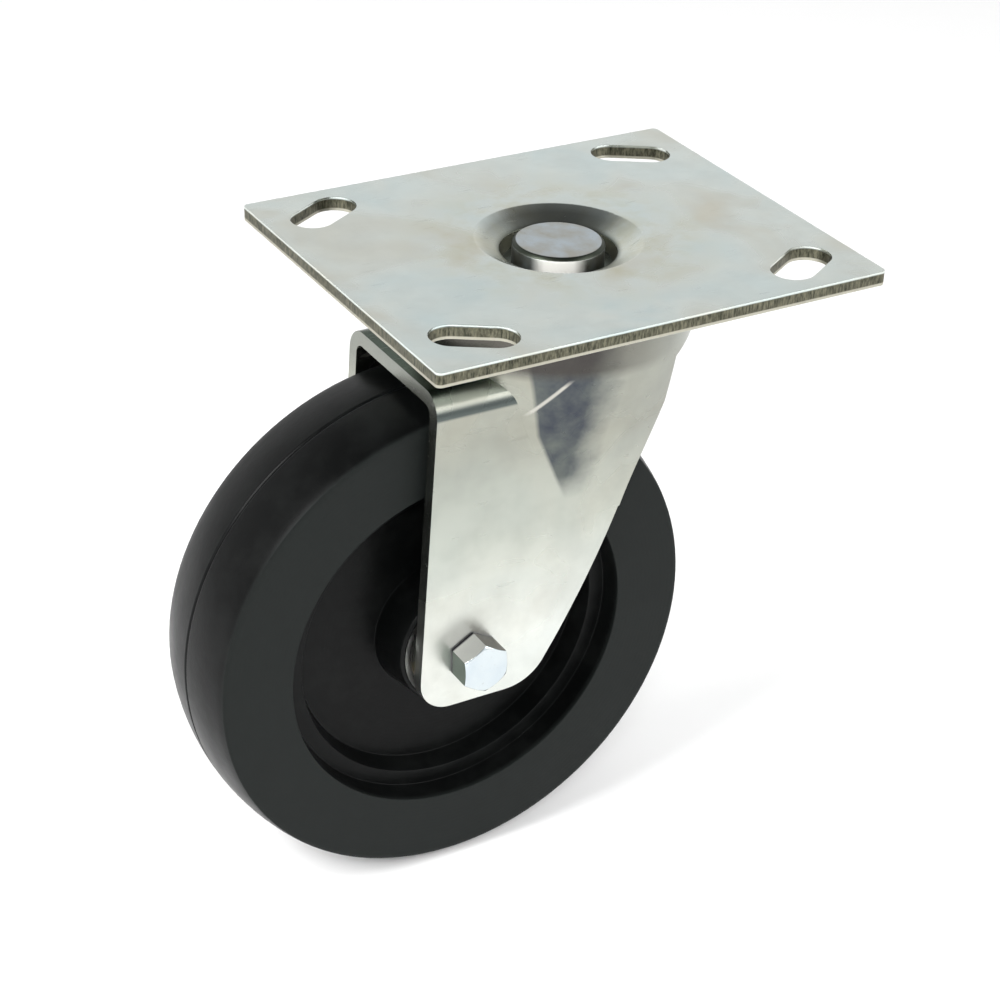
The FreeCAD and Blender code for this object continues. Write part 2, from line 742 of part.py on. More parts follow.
# ---------------------------------------------------------------- build, check and write
pieces = [
    top_plate(),
    kingpin(),
    kingpin_washer(),
    lower_race(),
    *ball_rows(),
    fork(),
    axle_bolt(),
    nut_washer(),
    lock_nut(),
    nut_insert(),
    axle_bushing(),
    *thrust_washers(),
    hub_sleeve(),
    roller_cage(),
    bearing_rollers(),
    wheel(),
]
doc.recompute()

for thing in doc.Objects:
    if {"Invalid", "Error"} & set(thing.State):
        raise RuntimeError(f"{thing.Name} failed: {thing.State}")

os.makedirs("parts", exist_ok=True)
for piece in pieces:
    shape = piece.Shape
    if shape.isNull() or not shape.isValid():
        raise RuntimeError(f"{piece.Label} has no valid shape")
    shape.exportStep(f"parts/{piece.Label}.step")
    box = shape.BoundBox
    print(f"{piece.Label:20s} solids {len(shape.Solids):3d}  volume {shape.Volume:10.1f}  "
          f"x {box.XMin:7.2f} {box.XMax:7.2f}  y {box.YMin:7.2f} {box.YMax:7.2f}  "
          f"z {box.ZMin:8.2f} {box.ZMax:7.2f}")
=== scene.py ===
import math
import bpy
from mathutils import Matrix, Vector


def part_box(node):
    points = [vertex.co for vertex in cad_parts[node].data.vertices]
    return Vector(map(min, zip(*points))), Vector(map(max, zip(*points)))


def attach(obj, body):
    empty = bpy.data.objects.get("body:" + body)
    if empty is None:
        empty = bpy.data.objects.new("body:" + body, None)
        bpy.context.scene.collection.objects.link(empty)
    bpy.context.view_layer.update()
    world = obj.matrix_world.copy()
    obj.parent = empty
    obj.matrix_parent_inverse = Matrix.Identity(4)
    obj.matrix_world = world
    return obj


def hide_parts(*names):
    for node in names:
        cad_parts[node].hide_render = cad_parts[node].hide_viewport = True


bl_info = {
    "name": "Gate wheel",
    "version": (1, 0, 0),
    "blender": (4, 5, 0),
    "location": "3D View > Sidebar > Gate wheel",
    "description": "Finishes a zinc plated swivel plate caster with a solid black rubber wheel",
    "category": "Add Mesh",
}

import bmesh
import bpy
from bpy.props import FloatProperty, FloatVectorProperty, IntProperty, PointerProperty
from mathutils import Matrix, Vector

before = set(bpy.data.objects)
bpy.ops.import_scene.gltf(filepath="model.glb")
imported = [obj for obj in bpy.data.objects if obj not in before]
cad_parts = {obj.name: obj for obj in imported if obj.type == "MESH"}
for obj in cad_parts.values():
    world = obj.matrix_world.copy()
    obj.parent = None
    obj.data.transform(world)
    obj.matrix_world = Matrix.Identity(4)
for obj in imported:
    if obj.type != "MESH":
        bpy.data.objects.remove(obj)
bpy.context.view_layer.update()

# Sizes read off the frame, in metres. +Z is up, +X is away from the trailing wheel, the axle is
# along Y with its head on the -Y side.
PLATE_LOW, PLATE_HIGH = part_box("top_plate")
WHEEL_LOW, WHEEL_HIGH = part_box("wheel")
SLEEVE_LOW, SLEEVE_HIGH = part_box("hub_sleeve")
BOLT_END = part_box("axle_bolt")[1].y
NUT_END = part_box("lock_nut")[1].y
AXLE = (WHEEL_LOW + WHEEL_HIGH) / 2
MM = 0.001

# Sizes that the frame's boxes don't give.
PLATE_SHEET = 3.5 * MM
NEAR_LEG_FACE = -21.4 * MM
BOLT_RADIUS = 3.97 * MM
FORGED_BREAK = 0.25 * MM
NUT_BREAK = 0.3 * MM
THREAD_STEPS = 48
FLOOR_REACH = 6.0

# The studio: how bright its wall is from the floor (0) to straight overhead (1), and its lights,
# each a name, a place, a size in metres, a power in watts, and whether metal mirrors it. The roof
# is a tent that whitens the floor.
WALL = ((0.0, 0.95), (0.35, 0.92), (0.56, 0.76), (0.66, 0.66), (0.82, 0.18), (1.0, 0.08))
LIGHTS = (
    ("key", (-0.95, -0.15, 0.75), 0.6, 12, True),
    ("fill", (0.7, -0.8, 0.6), 0.8, 5, True),
    ("front", (-0.5, -0.85, 0.68), 0.3, 6, False),
    ("tent_roof", (0, 0, 3.0), 6.0, 36, False),
)
LIT_POINT = Vector((0, 0, -0.07))
CAMERA_PLACE = (-0.2632, -0.4190, 0.2195)
CAMERA_RIGHT = Vector((0.8677, -0.4960, 0.0325))
CAMERA_UP = Vector((0.2265, 0.4526, 0.8625))
CAMERA_LENS = 84.96


def plain(hexadecimal):
    """An sRGB hex colour as plain linear values."""
    parts = [int(hexadecimal[i:i + 2], 16) / 255 for i in (1, 3, 5)]
    return tuple(p / 12.92 if p <= 0.04045 else ((p + 0.055) / 1.055) ** 2.4 for p in parts)


# ---------------------------------------------------------------- settings
class GateWheelSizes(bpy.types.PropertyGroup):
    sheet_break: FloatProperty(
        name="Sheet edge break", description="Width of the rounding on sheared sheet edges",
        default=0.30 * MM, unit="LENGTH")
    tread_line: FloatProperty(
        name="Parting line", description="Width of the mould's parting line round the tread",
        default=0.55 * MM, unit="LENGTH")
    moulded_round: FloatProperty(
        name="Moulded rounding", description="Rounding of the wheel's moulded steps",
        default=1.1 * MM, unit="LENGTH")
    tread_drop: FloatProperty(
        name="Tread drop", description="How far the crowned tread falls from middle to edge",
        default=2.0 * MM, unit="LENGTH")
    thread_pitch: FloatProperty(
        name="Thread pitch", description="Pitch of the axle bolt's thread",
        default=1.41 * MM, unit="LENGTH")
    round_steps: IntProperty(
        name="Steps round", description="Facets in a full turn of a turned piece", default=128)


class GateWheelColours(bpy.types.PropertyGroup):
    zinc: FloatVectorProperty(
        name="Zinc", description="Bright zinc plating", subtype="COLOR",
        default=plain("#D9E0DB"))
    zinc_cool: FloatVectorProperty(
        name="Cool zinc", description="Blue cast of the passivated zinc", subtype="COLOR",
        default=plain("#CDDAD9"))
    zinc_warm: FloatVectorProperty(
        name="Warm zinc", description="Straw cast of the passivated zinc", subtype="COLOR",
        default=plain("#D6D5C8"))
    sheared_edge: FloatVectorProperty(
        name="Sheared edge", description="Torn steel where the sheet was sheared",
        subtype="COLOR", default=plain("#777564"))
    rubber: FloatVectorProperty(
        name="Rubber", description="Hard moulded rubber", subtype="COLOR",
        default=plain("#080909"))
    # the rim's outer face colour: partly dust, partly painted light against the shaded web
    rubber_face_dust_and_light: FloatVectorProperty(
        name="Rubber face", description="Dusty outer face of the rim", subtype="COLOR",
        default=plain("#1A1D1C"))


# ---------------------------------------------------------------- nodes
def fill(tree, node, inputs):
    """Sets a node's sockets, by name or number. Each gets a value or an output, or a node, which
    stands for its first open output."""
    for key, value in inputs.items():
        socket = node.inputs[key]
        if isinstance(value, bpy.types.Node):
            value = next(output for output in value.outputs if output.enabled)
        if isinstance(value, bpy.types.NodeSocket):
            tree.links.new(value, socket)
        elif socket.type == "RGBA":
            socket.default_value = (*value, 1)
        else:
            socket.default_value = value


def add(tree, kind, inputs=None, stops=(), **settings):
    """Adds a node: settings are its attributes, stops its ramp's (position, colour) pairs."""
    node = tree.nodes.new("ShaderNode" + kind)
    for name, value in settings.items():
        setattr(node, name, value)
    for index, (position, colour) in enumerate(stops):
        if index > 1:
            node.color_ramp.elements.new(position)
        node.color_ramp.elements[index].position = position
        node.color_ramp.elements[index].color = (*colour, 1)
    fill(tree, node, inputs or {})
    return node


def blank(name):
    """An empty material with its output, its shader and the piece's own coordinates."""
    material = bpy.data.materials.new(name)
    material.use_nodes = True
    tree = material.node_tree
    tree.nodes.clear()
    shader = add(tree, "BsdfPrincipled")
    add(tree, "OutputMaterial", {"Surface": shader})
    return material, tree, shader, add(tree, "TexCoord")


def pattern(tree, place, size_mm, detail=3, roughness=0.5, stretch=(1, 1, 1), distortion=0.0):
    """Clouded pattern with features about size_mm across, drawn out along each axis by its
    number in stretch."""
    stretched = add(tree, "Mapping", {"Vector": place, "Scale": [1 / s for s in stretch]})
    return add(tree, "TexNoise", {
        "Vector": stretched, "Scale": 1 / (size_mm * MM), "Detail": detail,
        "Roughness": roughness, "Distortion": distortion})


def product(tree, *parts):
    """Its parts multiplied. A part is an output, a number, or (value, low, high), which is 0
    where value is low and 1 where it is high, or the two numbers that may follow instead."""
    total = None
    for part in parts:
        if isinstance(part, tuple):
            names = ("Value", "From Min", "From Max", "To Min", "To Max")
            part = add(tree, "MapRange", dict(zip(names, part)))
        total = part if total is None else add(
            tree, "Math", {0: total, 1: part}, operation="MULTIPLY")
    return total


def stain(tree, tint, colour, *parts, blend="MIX"):
    """Lays colour over tint as far as the product of the parts says. Both are hex or outputs."""
    low, high = (plain(c) if isinstance(c, str) else c for c in (tint, colour))
    return add(tree, "Mix", {0: product(tree, *parts), 6: low, 7: high}, data_type="RGBA",
               blend_type=blend)


def relief(tree, *layers):
    """The surface raised by one layer over another, each a (height, depth in mm)."""
    skin = None
    for height, depth_mm in layers:
        under = {} if skin is None else {"Normal": skin}
        skin = add(tree, "Bump", {"Height": height, "Strength": 1.0,
                                  "Distance": depth_mm * MM, **under})
    return skin


def from_axis(tree, *coordinates):
    """Distance from an axis, of the two coordinates across it."""
    squares = [add(tree, "Math", {0: along, 1: 2.0}, operation="POWER") for along in coordinates]
    both = add(tree, "Math", dict(enumerate(squares)), operation="ADD")
    return add(tree, "Math", {0: both}, operation="SQRT")


def turned_rings(tree, reach, pitch):
    """Fine rings a pitch apart round an axis, of the distance from it."""
    return add(tree, "Math", {0: product(tree, reach, 2 * math.pi / pitch)}, operation="SINE")


# ---------------------------------------------------------------- finishes
def dish_stains_and_shade(tree, tint, parts, facing, patches):
    """The yellowed plating round the dish, and the shade and reflection painted in it, by the
    distance from the pin.
    """
    reach = from_axis(tree, parts.outputs["X"], parts.outputs["Y"])
    # the stretched metal round the dish holds more passivate and yellows
    tint = stain(tree, tint, "#B9B595", (reach, 40 * MM, 22 * MM), (patches, 0.42, 0.62), 0.45)
    # painted shade in the gap ring round the kingpin, deep in the dish
    tint = stain(tree, tint, "#3C453E", (reach, 15.0 * MM, 13.6 * MM),
                 (parts.outputs["Z"], -2.2 * MM, -3.0 * MM))
    # painted dark reflection on the wall of the bowl that faces the near side
    return stain(tree, tint, "#7A7C70", (reach, 19.6 * MM, 17.0 * MM),
                 (facing.outputs["Y"], 0.05, -0.35), 0.6)


def fork_mottle_and_painted_light(tree, tint, parts, up, patches):
    """Painted light and shade on the fork, over a random mottle of its plating, by the drop below
    the plate's top and the place across, from the trailing wheel (-) to the front (+)."""
    across = parts.outputs["X"]
    drop = product(tree, parts.outputs["Z"], -1.0)
    # painted light: the fork is darker towards the top and brightest low on the open legs
    painted_light_fall = add(tree, "ValToRGB", {"Fac": product(tree, (drop, 36 * MM, 90 * MM))}, stops=(
        (0.0, plain("#8A897C")), (0.5, plain("#AEB0A5")), (1.0, plain("#D6D8D2"))))
    mottle = product(tree, (patches, 0.32, 0.60, 0.86, 1.0))
    tint = stain(tree, tint, stain(tree, painted_light_fall, mottle, 1.0, blend="MULTIPLY"), 0.8)
    # painted shade in the pressed hollow between crown and leg, a dull blue-grey for a dark
    # reflection, whose rear edge is the further forward of two creases, each a line of the drop
    creases = [add(tree, "Math", {0: drop, 1: slope, 2: start}, operation="MULTIPLY_ADD")
               for slope, start in ((0.213, -25.3 * MM), (0.459, -34.3 * MM))]
    crease = add(tree, "Math", dict(enumerate(creases)), operation="MAXIMUM")
    past = add(tree, "Math", {0: across, 1: crease}, operation="SUBTRACT")
    ragged = add(tree, "Math", {0: patches, 1: 6 * MM, 2: across}, operation="MULTIPLY_ADD")
    hollow_shade = stain(tree, "#43474F", "#656A66", (patches, 0.35, 0.65))
    tint = stain(tree, tint, hollow_shade, (past, 0.0, 1.0 * MM), (ragged, 3.0 * MM, -5.5 * MM),
                 (drop, 56 * MM, 49 * MM))
    # painted shadow of the plate along the crown's rim
    tint = stain(tree, tint, "#45413E", (drop, 21.5 * MM, 18.5 * MM),
                 (across, 16 * MM, -10 * MM), 0.85)
    # a painted highlight: a bright line crosses the hollow
    fall = add(tree, "Math", {0: drop, 1: 0.609, 2: -2.66 * MM}, operation="MULTIPLY_ADD")
    off_line = add(tree, "Math", {0: across, 1: 0.793, 2: fall}, operation="MULTIPLY_ADD")
    off_line = add(tree, "Math", {0: off_line}, operation="ABSOLUTE")
    tint = stain(tree, tint, "#B9B7AF", (off_line, 0.6 * MM, 0.2 * MM),
                 (drop, 31.0 * MM, 29.5 * MM), (drop, 20.5 * MM, 22.5 * MM))
    # painted shade along the bend's foot
    tint = stain(tree, tint, "#5A615F", (up, 0.01, 0.10), (up, 0.55, 0.32),
                 (drop, 34 * MM, 29 * MM))
    # painted shade on what faces up close under the plate
    return stain(tree, tint, "#465046", (up, 0.80, 0.97), (drop, 24.0 * MM, 22.5 * MM))


def zinc_sheet(name, sheet_span=None, dish=False, fork_light_and_mottle=False):
    """Bright zinc plating with a clear passivate on rolled steel sheet. To the eye: a pale silver
    metal that clouds between straw and faint blue, with a soft sheen, fine rolling marks, a
    few scratches, and a browner torn band where the sheet was sheared. sheet_span is the
    heights of the sheet's two faces where it has such a band."""
    colours = bpy.context.scene.gate_wheel_colours
    material, tree, shader, where = blank(name)
    place = where.outputs["Object"]
    parts = add(tree, "SeparateXYZ", {"Vector": place})
    facing = add(tree, "SeparateXYZ", {"Vector": where.outputs["Normal"]})
    high_up, up = parts.outputs["Z"], facing.outputs["Z"]
    clouds = pattern(tree, place, 26, detail=2.5, distortion=0.6)
    patches = pattern(tree, place, 11, detail=4, roughness=0.6)
    tint = add(tree, "ValToRGB", {"Fac": clouds}, stops=(
        (0.30, colours.zinc_cool), (0.50, colours.zinc), (0.75, colours.zinc_warm)))
    mottle = product(tree, (patches, 0.30, 0.62, 0.92, 1.0))
    tint = stain(tree, tint, mottle, 1.0, blend="MULTIPLY")
    # the dish's yellowed plating, with painted shade in the kingpin's gap and a painted dark
    # reflection on the bowl's wall
    if dish:
        tint = dish_stains_and_shade(tree, tint, parts, facing, patches)
    # the fork's mottled plating with its painted light and shade
    if fork_light_and_mottle:
        tint = fork_mottle_and_painted_light(tree, tint, parts, up, patches)
    # the real rolling marks, scratches and pores are under 0.1 mm across, and are drawn coarser
    # so that they show
    rolled = pattern(tree, place, 0.9, detail=2, stretch=(14, 1, 1))
    pores = pattern(tree, place, 0.6, detail=3, roughness=0.65)
    scratch = pattern(tree, place, 0.35, detail=1, stretch=(30, 2, 6), distortion=0.3)
    scratches = product(tree, (scratch, 0.71, 0.76))
    waves = pattern(tree, place, 18, detail=1)
    layers = [(waves, 0.10), (rolled, 0.006), (pores, 0.010), (scratches, -0.012)]
    rough = product(tree, (clouds, 0.35, 0.65, 0.20, 0.32))
    rough = add(tree, "Math", {0: scratches, 1: 0.15, 2: rough}, operation="MULTIPLY_ADD")
    if sheet_span is not None:
        low, high = sheet_span
        tilt = add(tree, "Math", {0: up}, operation="ABSOLUTE")
        torn = product(tree, (tilt, 0.35, 0.15), (high_up, high - 0.4 * MM, high - 0.7 * MM))
        streaks = pattern(tree, place, 0.5, detail=3, roughness=0.7, stretch=(1, 1, 4))
        edge = stain(tree, "#3C3D34", colours.sheared_edge, (streaks, 0.35, 0.65))
        # painted highlight on the bright lip the shear rolled along the lower face
        edge = stain(tree, edge, "#B4B1A3", (high_up, low + 0.8 * MM, low + 0.6 * MM))
        tint = stain(tree, tint, edge, torn)
        rough = add(tree, "Math", {0: torn, 1: 0.2, 2: rough}, operation="MULTIPLY_ADD")
        layers.append((product(tree, streaks, torn), 0.08))
    fill(tree, shader, {"Base Color": tint, "Roughness": rough, "Metallic": 1.0,
                        "Normal": relief(tree, *layers)})
    return material


def zinc_turned(name, centre, along, base="#D6DAD9", gloss=0.2, painted_flats=(), bevel=None,
                glint_side=None, seam=None):
    """Zinc plated turned or forged steel. To the eye: brighter and glossier than the sheet, with
    fine rings left by the tool round its axis and small plating specks. seam is the depth along Y
    of the dark line where a head meets its seat, and flats are that head's flats painted with
    light, each a (direction, colour) for the painted reflection the flat shows. bevel is the
    painted shade colour of the bevel of a head whose axis is Z, and rubbed is the side of it
    painted matt white as a painted highlight."""
    material, tree, shader, where = blank(name)
    place = where.outputs["Object"]
    moved = add(tree, "Mapping", {"Vector": place, "Location": [-c for c in centre]})
    parts = add(tree, "SeparateXYZ", {"Vector": moved})
    reach = from_axis(tree, *(parts.outputs[axis] for axis in "XYZ" if axis != along))
    specks = pattern(tree, place, 0.8, detail=3, roughness=0.7)
    clouds = pattern(tree, place, 6, detail=3)
    tint = stain(tree, base, "#C2CCD2", (clouds, 0.35, 0.65))
    tint = stain(tree, tint, "#8E8E88", (specks, 0.66, 0.78))
    metallic = 1.0
    if seam is not None:
        depth = add(tree, "SeparateXYZ", {"Vector": place}).outputs["Y"]
        head = (depth, seam + 2 * MM, seam + 1 * MM)
        # painted light: each flat that faces its direction takes its painted reflection, dark or
        # white
        for direction, flat_tone in painted_flats:
            turned_to = add(tree, "VectorMath", {0: where.outputs["Normal"], 1: direction},
                            operation="DOT_PRODUCT")
            tint = stain(tree, tint, flat_tone, head, (turned_to, 0.80, 0.93))
        tint = stain(tree, tint, "#39373E", head, (depth, seam - 0.9 * MM, seam - 0.4 * MM))
    # the bevel of a head whose axis is Z takes a painted shade
    if bevel is not None:
        up = add(tree, "SeparateXYZ", {"Vector": where.outputs["Normal"]}).outputs["Z"]
        tint = stain(tree, tint, bevel, (up, 0.20, 0.45), (up, 0.98, 0.90))
    # painted highlight: the side that faces the given direction is painted matt white and made
    # less metallic
    if glint_side is not None:
        side = add(tree, "VectorMath", {0: where.outputs["Normal"], 1: glint_side},
                   operation="DOT_PRODUCT")
        painted_glint = product(tree, (side, 0.80, 0.95))
        tint = stain(tree, tint, "#F6F5F0", painted_glint)
        metallic = product(tree, (painted_glint, 0.0, 1.0, 1.0, 0.25))
    # the tool's real rings are about 0.1 mm apart, and are drawn coarser so that they show
    rings = turned_rings(tree, reach, 0.45 * MM)
    fill(tree, shader, {
        "Base Color": tint, "Roughness": product(tree, (clouds, 0.3, 0.7, gloss, gloss + 0.12)),
        "Metallic": metallic, "Normal": relief(tree, (rings, 0.002), (specks, 0.012))})
    return material


def oiled_steel(name, base, gloss):
    """Bearing steel under a film of grease. To the eye: darker grey metal with soft smears."""
    material, tree, shader, where = blank(name)
    # ground steel's real grain is under 0.1 mm, and is drawn coarser so that it shows
    smears = pattern(tree, where.outputs["Object"], 5, detail=3, distortion=1.0)
    grain = pattern(tree, where.outputs["Object"], 0.4, detail=2)
    fill(tree, shader, {
        "Base Color": stain(tree, base, "#6E6450", (smears, 0.45, 0.70, 0.0, 0.5)),
        "Roughness": product(tree, (smears, 0.3, 0.7, gloss, gloss + 0.2)),
        "Metallic": 1.0, "Normal": relief(tree, (grain, 0.004))})
    return material


def nylon(name):
    """Moulded natural nylon. To the eye: milky off-white, waxy, slightly see-through."""
    material, tree, shader, where = blank(name)
    clouds = pattern(tree, where.outputs["Object"], 2, detail=2)
    fill(tree, shader, {
        "Base Color": stain(tree, "#DAD8CC", "#C9C6B6", clouds), "Roughness": 0.42, "IOR": 1.53,
        "Subsurface Weight": 0.15, "Subsurface Scale": 0.8 * MM,
        "Normal": relief(tree, (clouds, 0.02))})
    return material


def moulded_rubber(name):
    """Hard moulded rubber, straight from a polished mould. To the eye: near black with a satin
    sheen, a faint bloom of dust, outer rim faces lighter from dust and painted light, and fine
    rings where the mould was turned."""
    colours = bpy.context.scene.gate_wheel_colours
    material, tree, shader, where = blank(name)
    place = where.outputs["Object"]
    moved = add(tree, "Mapping", {"Vector": place, "Location": -AXLE})
    parts = add(tree, "SeparateXYZ", {"Vector": moved})
    reach = from_axis(tree, parts.outputs["X"], parts.outputs["Z"])
    off_middle = add(tree, "Math", {0: parts.outputs["Y"]}, operation="ABSOLUTE")
    # the flat outer rim face is lighter than the recessed web: partly dust, partly painted shade
    # on the web behind it
    rim = product(tree, (off_middle, 14.5 * MM, 15.7 * MM), (reach, 41.5 * MM, 44.0 * MM))
    bloom = pattern(tree, place, 9, detail=4, roughness=0.6)
    grain = pattern(tree, place, 0.5, detail=3, roughness=0.6)
    tint = stain(tree, colours.rubber, colours.rubber_face_dust_and_light, rim)
    tint = stain(tree, tint, "#1C1E1D", (bloom, 0.45, 0.75, 0.0, 0.35))
    # the mould's real rings are about 0.2 mm apart, and are drawn coarser so that they show
    rings = turned_rings(tree, reach, 1.1 * MM)
    rough = product(tree, (bloom, 0.3, 0.7, 0.28, 0.38))
    rough = add(tree, "Math", {0: rim, 1: 0.16, 2: rough}, operation="MULTIPLY_ADD")
    fill(tree, shader, {
        "Base Color": tint, "Roughness": rough, "IOR": 1.52, "Specular IOR Level": 0.10,
        "Normal": relief(tree, (bloom, 0.10), (rings, 0.003), (grain, 0.012))})
    return material


# ---------------------------------------------------------------- mesh helpers
def as_piece(bm, name, material, body, node, sharp=32):
    """Makes the bmesh an object of its own at the origin, in place of its CAD node. Edges that
    turn by more than sharp degrees stay sharp."""
    for face in bm.faces:
        face.smooth = True
    for edge in bm.edges:
        if len(edge.link_faces) == 2 and edge.calc_face_angle(0) > math.radians(sharp):
            edge.smooth = False
    mesh = bpy.data.meshes.new(name)
    bm.to_mesh(mesh)
    bm.free()
    mesh.materials.append(material)
    piece = bpy.data.objects.new(name, mesh)
    bpy.context.scene.collection.objects.link(piece)
    shading = piece.modifiers.new("even_shading", "WEIGHTED_NORMAL")
    shading.keep_sharp = True
    shading.weight = 100
    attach(piece, body)
    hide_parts(node)
    return piece


def cleaned(node):
    """A merged copy of a CAD node's mesh, with its flat faces whole."""
    bm = bmesh.new()
    bm.from_mesh(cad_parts[node].data)
    bmesh.ops.remove_doubles(bm, verts=bm.verts, dist=1e-6)
    bmesh.ops.dissolve_limit(bm, angle_limit=math.radians(0.4), verts=bm.verts, edges=bm.edges,
                             use_dissolve_boundaries=False)
    return bm


def break_edges(bm, width, over=40, where=lambda edge: True, segments=2):
    """Rounds the edges that turn by more than over degrees."""
    edges = [e for e in bm.edges if len(e.link_faces) == 2 and where(e)
             and e.calc_face_angle(0) > math.radians(over)]
    bmesh.ops.bevel(bm, geom=edges, offset=width, offset_type="OFFSET", segments=segments,
                    profile=0.5, affect="EDGES", clamp_overlap=True, material=-1)


def spun(profile, centre, along, steps):
    """A turned solid: profile is a closed run of (radius, height) about the axis."""
    bm = bmesh.new()
    axis = {"Y": Vector((0, 1, 0)), "Z": Vector((0, 0, 1))}[along]
    out = Vector((1, 0, 0))
    ring = [bm.verts.new(Vector(centre) + out * r + axis * h) for r, h in profile]
    runs = list(zip(ring, ring[1:]))
    if profile[0][0] > 0 or profile[-1][0] > 0:
        runs.append((ring[-1], ring[0]))
    edges = [bm.edges.new(pair) for pair in runs]
    bmesh.ops.spin(bm, geom=ring + edges, cent=centre, axis=axis, angle=2 * math.pi,
                   steps=steps, use_merge=True)
    bmesh.ops.remove_doubles(bm, verts=bm.verts, dist=1e-7)
    bmesh.ops.recalc_face_normals(bm, faces=bm.faces)
    return bm


def plated_node(node, material):
    """Gives a CAD node that keeps its own shape its finish."""
    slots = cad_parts[node].data.materials
    slots.clear()
    slots.append(material)


# ---------------------------------------------------------------- pieces
class GATE_OT_top_plate(bpy.types.Operator):
    """Slotted mounting plate with its pressed dish and sheared edges"""
    bl_idname = "gate.top_plate"
    bl_label = "Top plate"

    def execute(self, context):
        sizes = context.scene.gate_wheel_sizes
        bm = cleaned("top_plate")
        break_edges(bm, sizes.sheet_break)
        faces = (PLATE_HIGH.z - PLATE_SHEET, PLATE_HIGH.z)
        finish = zinc_sheet("bright_zinc_plate", faces, dish=True)
        as_piece(bm, "mounting_plate", finish, "plate", "top_plate")
        return {"FINISHED"}


class GATE_OT_kingpin(bpy.types.Operator):
    """Kingpin with its flat bevelled head, and the washer it is riveted over"""
    bl_idname = "gate.kingpin"
    bl_label = "Kingpin"

    def execute(self, context):
        bm = cleaned("kingpin")
        break_edges(bm, FORGED_BREAK)
        # the bevel's dark colour is painted shade, and the given side is painted white as a
        # highlight
        finish = zinc_turned("zinc_kingpin", (0, 0, 0), "Z", "#ACACA4", 0.32, bevel="#3F443C",
                             glint_side=(-0.5, -0.866, 0.0))
        as_piece(bm, "kingpin_rivet", finish, "plate", "kingpin")
        plated_node("kingpin_washer", zinc_turned("zinc_kingpin_washer", (0, 0, 0), "Z"))
        return {"FINISHED"}


class GATE_OT_races(bpy.types.Operator):
    """Finish of the lower race and the two rows of balls"""
    bl_idname = "gate.races"
    bl_label = "Races and balls"

    def execute(self, context):
        plated_node("lower_race", zinc_turned("zinc_lower_race", (0, 0, 0), "Z"))
        balls = oiled_steel("greased_balls", "#C4C6C8", 0.10)
        plated_node("upper_balls", balls)
        plated_node("lower_balls", balls)
        return {"FINISHED"}


class GATE_OT_fork(bpy.types.Operator):
    """Pressed fork: round crown, bent flange and two legs"""
    bl_idname = "gate.fork"
    bl_label = "Fork"

    def execute(self, context):
        sizes = context.scene.gate_wheel_sizes
        bm = cleaned("fork")
        break_edges(bm, sizes.sheet_break, over=60)
        finish = zinc_sheet("bright_zinc_fork", fork_light_and_mottle=True)
        as_piece(bm, "pressed_fork", finish, "fork", "fork", sharp=28)
        return {"FINISHED"}


class GATE_OT_axle_bolt(bpy.types.Operator):
    """Hex head bolt through both legs, with a cut thread at its end"""
    bl_idname = "gate.axle_bolt"
    bl_label = "Axle bolt"

    def execute(self, context):
        pitch = context.scene.gate_wheel_sizes.thread_pitch
        bm = cleaned("axle_bolt")
        # the plain end is drawn back into the nut, and the thread stands in its place
        start = NUT_END - 1.5 * pitch
        for vert in bm.verts:
            if vert.co.y > start:
                vert.co.y = start
        # only the head's edges, which lie outside the near leg
        head_end = NEAR_LEG_FACE + 1 * MM
        break_edges(bm, FORGED_BREAK, where=lambda edge: edge.verts[0].co.y < head_end)
        # each turn rises from its root to a flat crest between these parts of the pitch
        root, crest_from, crest_to = BOLT_RADIUS - 0.75 * MM, 0.42, 0.56
        end_radius, end_run = BOLT_RADIUS - 0.8 * MM, 0.3 * MM
        profile = [(0, start - AXLE.y)]
        at = start
        while at + pitch < BOLT_END - end_run:
            profile += [(root, at - AXLE.y), (BOLT_RADIUS, at + crest_from * pitch - AXLE.y),
                        (BOLT_RADIUS, at + crest_to * pitch - AXLE.y)]
            at += pitch
        profile += [(end_radius, at - AXLE.y), (end_radius, BOLT_END - AXLE.y),
                    (0, BOLT_END - AXLE.y)]
        thread = bpy.data.meshes.new("thread")
        turned = spun(profile, AXLE, "Y", THREAD_STEPS)
        turned.to_mesh(thread)
        turned.free()
        bm.from_mesh(thread)
        bpy.data.meshes.remove(thread)
        # three of the head's flats, by the way they face, each with a painted reflection: dark on
        # two of them, white on the third
        painted_flats = (((0.485, 0.0, 0.875), "#4A463D"), ((-1.0, 0.0, 0.0), "#56625A"),
                 ((-0.515, 0.0, 0.857), "#FFFFFF"))
        finish = zinc_turned("zinc_bolt", AXLE, "Y", "#CBD3D6", 0.14, painted_flats=painted_flats,
                             seam=NEAR_LEG_FACE)
        as_piece(bm, "hex_bolt", finish, "fork", "axle_bolt")
        return {"FINISHED"}


class GATE_OT_lock_nut(bpy.types.Operator):
    """Lock nut with its round collar and nylon ring"""
    bl_idname = "gate.lock_nut"
    bl_label = "Lock nut"

    def execute(self, context):
        bm = cleaned("lock_nut")
        break_edges(bm, NUT_BREAK)
        finish = zinc_turned("zinc_nut", AXLE, "Y", "#DCE2E4", 0.16)
        as_piece(bm, "hex_lock_nut", finish, "fork", "lock_nut")
        plated_node("nut_insert", nylon("nylon_ring"))
        return {"FINISHED"}


